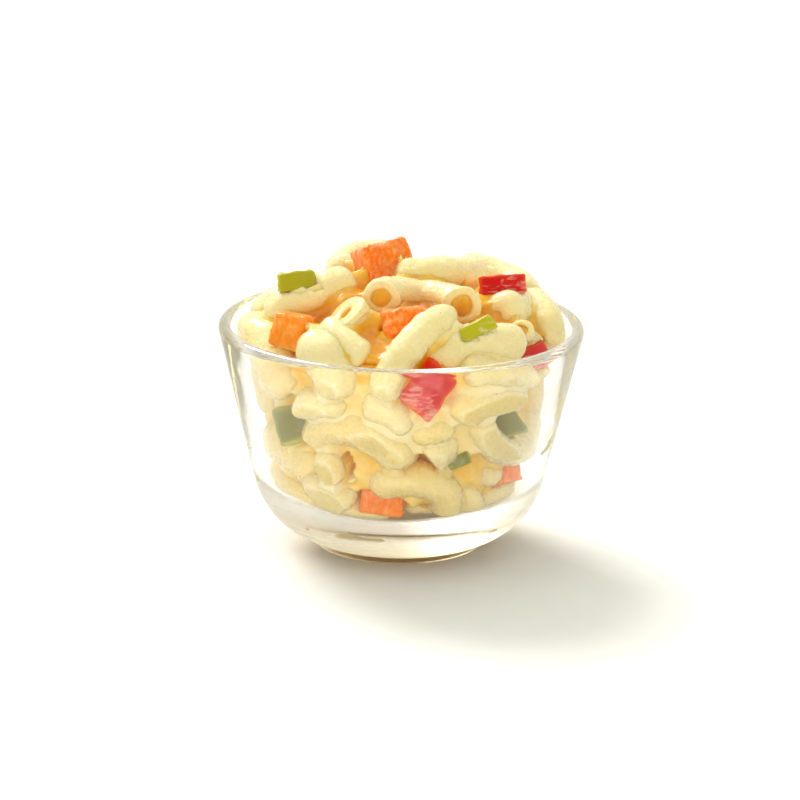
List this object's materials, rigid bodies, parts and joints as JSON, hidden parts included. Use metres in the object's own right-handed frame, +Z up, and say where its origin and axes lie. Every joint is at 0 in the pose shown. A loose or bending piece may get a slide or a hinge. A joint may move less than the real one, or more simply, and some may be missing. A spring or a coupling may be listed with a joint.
{
  "type": "pasta salad in a glass bowl",
  "caption": "Creamy elbow macaroni salad with diced carrot and red and green pepper, heaped over the rim of a small clear glass bowl with a foot ring.",
  "frame": {"origin": "on the table under the middle of the bowl's foot ring", "axes": "+Z up along the bowl's axis; the side shown in the picture faces -Y, and its right is +X"},
  "size_m": [0.089, 0.089, 0.0749],
  "materials": {
    "glass": "smooth pressed clear glass",
    "macaroni": "cooked pasta, wet with creamy dressing",
    "carrot": "cut carrot, moist",
    "red_pepper": "glossy pepper skin",
    "green_pepper": "glossy pepper skin"
  },
  "bodies": {
    "root": {"carrot_1": "carrot", "carrot_2": "carrot", "carrot_3": "carrot", "carrot_4": "carrot", "carrot_5": "carrot", "carrot_6": "carrot", "carrot_7": "carrot", "carrot_8": "carrot", "carrot_9": "carrot", "glass_bowl": "glass", "green_pepper_1": "green_pepper", "green_pepper_2": "green_pepper", "green_pepper_3": "green_pepper", "green_pepper_4": "green_pepper", "green_pepper_5": "green_pepper", "green_pepper_6": "green_pepper", "pasta_heap": "macaroni", "red_pepper_1": "red_pepper", "red_pepper_2": "red_pepper", "red_pepper_3": "red_pepper", "red_pepper_4": "red_pepper", "red_pepper_5": "red_pepper", "red_pepper_6": "red_pepper", "red_pepper_7": "red_pepper", "red_pepper_8": "red_pepper", "red_pepper_9": "red_pepper"}
  },
  "joints": []
}
